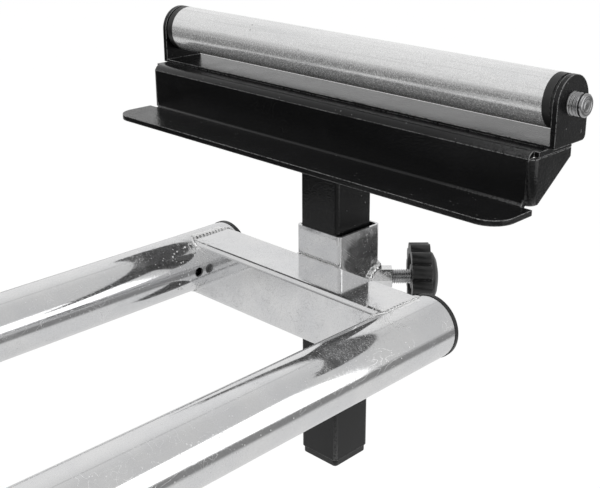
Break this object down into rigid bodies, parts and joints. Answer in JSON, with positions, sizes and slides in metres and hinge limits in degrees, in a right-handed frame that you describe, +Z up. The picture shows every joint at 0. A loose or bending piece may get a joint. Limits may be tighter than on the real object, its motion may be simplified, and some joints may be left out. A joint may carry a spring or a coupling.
{
  "type": "miter saw stand",
  "caption": "Folding saw stand with telescoping plated tube ends, each carrying a height adjustable work roller on a clamped square post.",
  "frame": {"origin": "on the floor under the middle of the stand's bounding box", "axes": "+X along the stand towards the pictured end, +Y towards the rear, +Z up"},
  "size_m": [2.0084, 0.6606, 0.9472],
  "materials": {
    "black_powder_coat": "semi-gloss black powder coat with slight orange peel",
    "bright_plating": "bright zinc plating, mirror-like with drawing lines and weld stains",
    "galvanised_roller": "satin galvanised steel with a mottled spangle",
    "zinc_fittings": "zinc plated machined steel",
    "black_plastic": "moulded black plastic, low sheen",
    "rubber": "matt black rubber",
    "brass": "plain turned brass"
  },
  "bodies": {
    "frame": {"main_tube_front": "black_powder_coat", "main_tube_rear": "black_powder_coat", "frame_crossmember_right": "black_powder_coat", "frame_crossmember_left": "black_powder_coat", "guide_bushes": "black_plastic", "lock_forks": "zinc_fittings", "lock_shoes": "brass", "leg_brackets": "black_powder_coat", "leg_bolts": "zinc_fittings"},
    "leg_front_right": {"leg_front_right": "black_powder_coat", "foot_front_right": "rubber"},
    "leg_lever_front_right": {"leg_lever_front_right": "zinc_fittings"},
    "leg_rear_right": {"leg_rear_right": "black_powder_coat", "foot_rear_right": "rubber"},
    "leg_lever_rear_right": {"leg_lever_rear_right": "zinc_fittings"},
    "leg_front_left": {"leg_front_left": "black_powder_coat", "foot_front_left": "rubber"},
    "leg_lever_front_left": {"leg_lever_front_left": "zinc_fittings"},
    "leg_rear_left": {"leg_rear_left": "black_powder_coat", "foot_rear_left": "rubber"},
    "leg_lever_rear_left": {"leg_lever_rear_left": "zinc_fittings"},
    "rail_right": {"mount_rail_right": "black_powder_coat"},
    "extension_right": {"extension_tube_front_right": "bright_plating", "extension_tube_rear_right": "bright_plating", "end_crossbar_right": "bright_plating", "post_sleeve_right": "bright_plating", "clamp_nut_right": "bright_plating", "tube_end_caps_right": "black_plastic"},
    "support_right": {"support_post_right": "black_powder_coat", "post_plug_right": "black_plastic", "roller_bracket_right": "black_powder_coat", "head_plate_right": "black_powder_coat", "roller_ears_right": "black_powder_coat", "roller_axle_right": "zinc_fittings"},
    "roller_right": {"roller_tube_right": "galvanised_roller", "roller_end_caps_right": "black_plastic"},
    "clamp_pad_right": {"clamp_pad_right": "brass"},
    "clamp_knob_right": {"clamp_screw_right": "zinc_fittings", "clamp_knob_right": "black_plastic"},
    "lock_lever_right": {"lock_lever_right": "black_plastic"},
    "rail_left": {"mount_rail_left": "black_powder_coat"},
    "extension_left": {"extension_tube_front_left": "bright_plating", "extension_tube_rear_left": "bright_plating", "end_crossbar_left": "bright_plating", "post_sleeve_left": "bright_plating", "clamp_nut_left": "bright_plating", "tube_end_caps_left": "black_plastic"},
    "support_left": {"support_post_left": "black_powder_coat", "post_plug_left": "black_plastic", "roller_bracket_left": "black_powder_coat", "head_plate_left": "black_powder_coat", "roller_ears_left": "black_powder_coat", "roller_axle_left": "zinc_fittings"},
    "roller_left": {"roller_tube_left": "galvanised_roller", "roller_end_caps_left": "black_plastic"},
    "clamp_pad_left": {"clamp_pad_left": "brass"},
    "clamp_knob_left": {"clamp_screw_left": "zinc_fittings", "clamp_knob_left": "black_plastic"},
    "lock_lever_left": {"lock_lever_left": "black_plastic"}
  },
  "joints": [
    {"name": "leg_fold_front_right", "type": "hinge", "parent": "frame", "child": "leg_front_right", "pos_m": [0.4, -0.14691, 0.69431], "axis": [0, 0.9744, -0.225], "range_deg": [0, 100]},
    {"name": "leg_lever_swing_front_right", "type": "hinge", "parent": "frame", "child": "leg_lever_front_right", "pos_m": [0.4, -0.17731, 0.70133], "axis": [-1, 0, 0], "range_deg": [0, 100]},
    {"name": "leg_fold_rear_right", "type": "hinge", "parent": "frame", "child": "leg_rear_right", "pos_m": [0.4, 0.10598, 0.68486], "axis": [0, 0.9744, 0.225], "range_deg": [0, 100]},
    {"name": "leg_lever_swing_rear_right", "type": "hinge", "parent": "frame", "child": "leg_lever_rear_right", "pos_m": [0.4, 0.13639, 0.69188], "axis": [1, 0, 0], "range_deg": [0, 100]},
    {"name": "leg_fold_front_left", "type": "hinge", "parent": "frame", "child": "leg_front_left", "pos_m": [-0.4, -0.10598, 0.68486], "axis": [0, -0.9744, 0.225], "range_deg": [0, 100]},
    {"name": "leg_lever_swing_front_left", "type": "hinge", "parent": "frame", "child": "leg_lever_front_left", "pos_m": [-0.4, -0.13639, 0.69188], "axis": [-1, 0, 0], "range_deg": [0, 100]},
    {"name": "leg_fold_rear_left", "type": "hinge", "parent": "frame", "child": "leg_rear_left", "pos_m": [-0.4, 0.14691, 0.69431], "axis": [0, -0.9744, -0.225], "range_deg": [0, 100]},
    {"name": "leg_lever_swing_rear_left", "type": "hinge", "parent": "frame", "child": "leg_lever_rear_left", "pos_m": [-0.4, 0.17731, 0.70133], "axis": [1, 0, 0], "range_deg": [0, 100]},
    {"name": "rail_slide_right", "type": "slide", "parent": "frame", "child": "rail_right", "axis": [1, 0, 0], "range_m": [-0.12, 0.12]},
    {"name": "extension_slide_right", "type": "slide", "parent": "frame", "child": "extension_right", "axis": [1, 0, 0], "range_m": [-0.345, 0]},
    {"name": "support_height_right", "type": "slide", "parent": "extension_right", "child": "support_right", "axis": [0, 0, 1], "range_m": [-0.055, 0.12]},
    {"name": "roller_spin_right", "type": "hinge", "parent": "support_right", "child": "roller_right", "pos_m": [0.9394, 0, 0.9282], "axis": [0, 1, 0], "continuous": true},
    {"name": "clamp_advance_right", "type": "slide", "parent": "extension_right", "child": "clamp_pad_right", "axis": [0.7071, -0.7071, 0], "range_m": [0, 0.0035]},
    {"name": "clamp_knob_turn_right", "type": "hinge", "parent": "clamp_pad_right", "child": "clamp_knob_right", "pos_m": [0.97418, -0.04243, 0.75], "axis": [0.7071, -0.7071, 0], "range_deg": [0, 720]},
    {"name": "lock_lever_swing_right", "type": "hinge", "parent": "frame", "child": "lock_lever_right", "pos_m": [0.455, -0.1555, 0.75], "axis": [-1, 0, 0], "range_deg": [0, 110]},
    {"name": "rail_slide_left", "type": "slide", "parent": "frame", "child": "rail_left", "axis": [1, 0, 0], "range_m": [-0.12, 0.12]},
    {"name": "extension_slide_left", "type": "slide", "parent": "frame", "child": "extension_left", "axis": [-1, 0, 0], "range_m": [-0.345, 0]},
    {"name": "support_height_left", "type": "slide", "parent": "extension_left", "child": "support_left", "axis": [0, 0, 1], "range_m": [-0.055, 0.12]},
    {"name": "roller_spin_left", "type": "hinge", "parent": "support_left", "child": "roller_left", "pos_m": [-0.9394, 0, 0.9282], "axis": [0, 1, 0], "continuous": true},
    {"name": "clamp_advance_left", "type": "slide", "parent": "extension_left", "child": "clamp_pad_left", "axis": [-0.7071, 0.7071, 0], "range_m": [0, 0.0035]},
    {"name": "clamp_knob_turn_left", "type": "hinge", "parent": "clamp_pad_left", "child": "clamp_knob_left", "pos_m": [-0.97418, 0.04243, 0.75], "axis": [-0.7071, 0.7071, 0], "range_deg": [0, 720]},
    {"name": "lock_lever_swing_left", "type": "hinge", "parent": "frame", "child": "lock_lever_left", "pos_m": [-0.455, 0.1555, 0.75], "axis": [1, 0, 0], "range_deg": [0, 110]}
  ],
  "couplings": [
    {"joint": "clamp_knob_turn_right", "follows": "clamp_advance_right", "rad_per_m": 3590.4},
    {"joint": "clamp_knob_turn_left", "follows": "clamp_advance_left", "rad_per_m": 3590.4}
  ]
}
